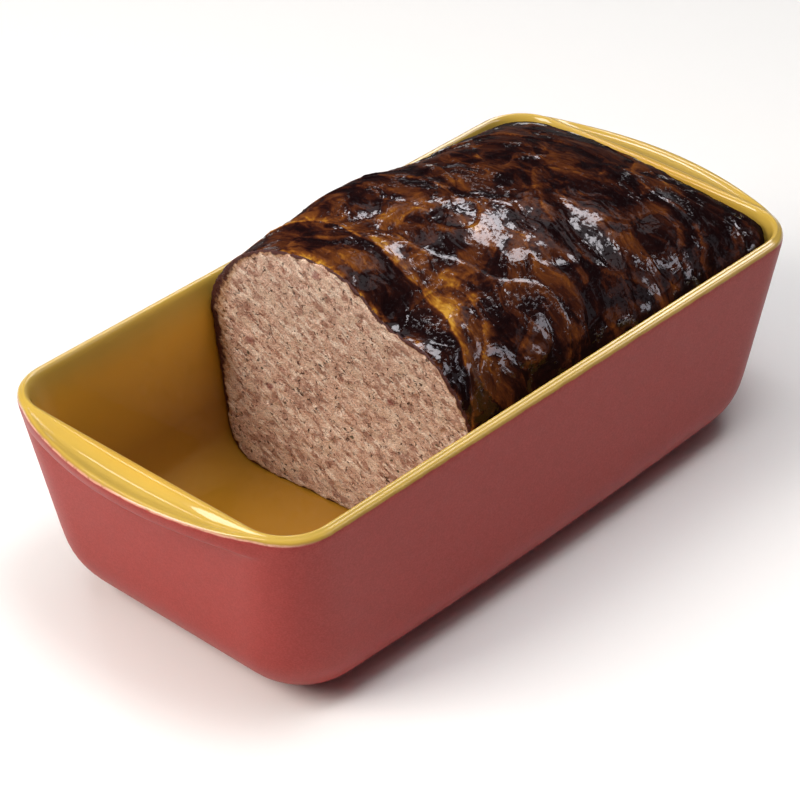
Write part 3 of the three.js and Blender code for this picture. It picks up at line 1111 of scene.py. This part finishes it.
def pale_paper(settings):
    """Matt white background paper, with hardly any gloss."""
    material, node = new_material("background_paper")
    place = node("TexCoord").outputs["Object"]
    tint = node("TexNoise", {"Vector": place, "Scale": per_mm(300), "Detail": 1.0}).outputs["Fac"]
    base = node(
        "Mix", {0: tint, 6: tuple(settings.floor), 7: srgb("fcfbfb")}, data_type="RGBA"
    ).outputs[2]
    bsdf = node("BsdfPrincipled", {"Base Color": base, "Roughness": 0.9, "Specular IOR Level": 0.1})
    node("OutputMaterial", {"Surface": bsdf.outputs[0]})
    return material


# ---------------------------------------------------------------- stage


def studio_walls():
    """Pale walls round the table, which stand out bright at the horizon and dim higher up."""
    world = bpy.data.worlds.new("studio_walls")
    world.use_nodes = True
    tree = world.node_tree
    direction = add_node(tree, "TexCoord").outputs["Generated"]
    height = add_node(tree, "SeparateXYZ", {0: direction}).outputs["Z"]
    light = add_node(
        tree,
        "MapRange",
        {"Value": height, "From Min": 0.02, "From Max": 0.2, "To Min": 0.5, "To Max": 0.03},
    ).outputs[0]
    background = tree.nodes["Background"]
    background.inputs["Color"].default_value = srgb("faf9ff")
    tree.links.new(light, background.inputs["Strength"])
    return world


def add_softbox(name, energy, place, size, tint, unseen_by):
    """Adds a rectangular softbox that points at the middle of the dish."""
    light = bpy.data.lights.new(name, "AREA")
    light.shape = "RECTANGLE"
    light.size, light.size_y = size
    light.energy = energy
    light.color = srgb(tint)[:3]
    lamp = bpy.data.objects.new(name, light)
    bpy.context.scene.collection.objects.link(lamp)
    lamp.location = place
    lamp.rotation_euler = (LIGHT_AIM - lamp.location).to_track_quat("-Z", "Y").to_euler()
    if unseen_by:
        setattr(lamp, "visible_" + unseen_by, False)


def add_camera(lens):
    camera = bpy.data.cameras.new("camera")
    camera.lens = lens
    camera.sensor_width = 36.0
    camera.clip_start = 0.05
    holder = bpy.data.objects.new("camera", camera)
    bpy.context.scene.collection.objects.link(holder)
    holder.location = CAMERA_PLACE
    turn = (CAMERA_AIM - CAMERA_PLACE).to_track_quat("-Z", "Y").to_matrix()
    holder.rotation_euler = (turn @ Matrix.Rotation(CAMERA_ROLL, 3, "Z")).to_euler()
    bpy.context.scene.camera = holder


class TERRINE_OT_stage(bpy.types.Operator):
    """Set up the floor, the lights and the camera"""

    bl_idname = "terrine.stage"
    bl_label = "Stage"

    def execute(self, context):
        settings = context.scene.terrine_stage
        deselect()
        bpy.ops.mesh.primitive_plane_add(size=8.0, location=(0, 0, 0))
        floor = context.object
        floor.name = "floor"
        floor.data.materials.append(pale_paper(settings))

        context.scene.world = studio_walls()
        for name, setting, place, size, tint, unseen_by in LIGHTS:
            add_softbox(name, getattr(settings, setting), place, size, tint, unseen_by)
        add_camera(settings.lens)
        context.scene.view_settings.view_transform = "Standard"
        return {"FINISHED"}


class TERRINE_PT_panel(bpy.types.Panel):
    """Sizes and colours of the terrine, and a button for each piece"""

    bl_label = "Terrine"
    bl_idname = "TERRINE_PT_panel"
    bl_space_type = "VIEW_3D"
    bl_region_type = "UI"
    bl_category = "Terrine"

    def draw(self, context):
        for group, operator in (
            (context.scene.terrine_dish, "terrine.dish"),
            (context.scene.terrine_loaf, "terrine.loaf"),
            (context.scene.terrine_stage, "terrine.stage"),
        ):
            box = self.layout.box()
            for key in group.__annotations__:
                box.prop(group, key)
            box.operator(operator)


CLASSES = (
    TERRINE_PG_dish,
    TERRINE_PG_loaf,
    TERRINE_PG_stage,
    TERRINE_OT_dish,
    TERRINE_OT_loaf,
    TERRINE_OT_stage,
    TERRINE_PT_panel,
)


def register():
    for cls in CLASSES:
        bpy.utils.register_class(cls)
    bpy.types.Scene.terrine_dish = PointerProperty(type=TERRINE_PG_dish)
    bpy.types.Scene.terrine_loaf = PointerProperty(type=TERRINE_PG_loaf)
    bpy.types.Scene.terrine_stage = PointerProperty(type=TERRINE_PG_stage)


def unregister():
    del bpy.types.Scene.terrine_stage
    del bpy.types.Scene.terrine_loaf
    del bpy.types.Scene.terrine_dish
    for cls in reversed(CLASSES):
        bpy.utils.unregister_class(cls)


def main():
    register()
    bpy.ops.terrine.stage()
    bpy.ops.terrine.dish()
    bpy.ops.terrine.loaf()


if __name__ == "__main__":
    main()
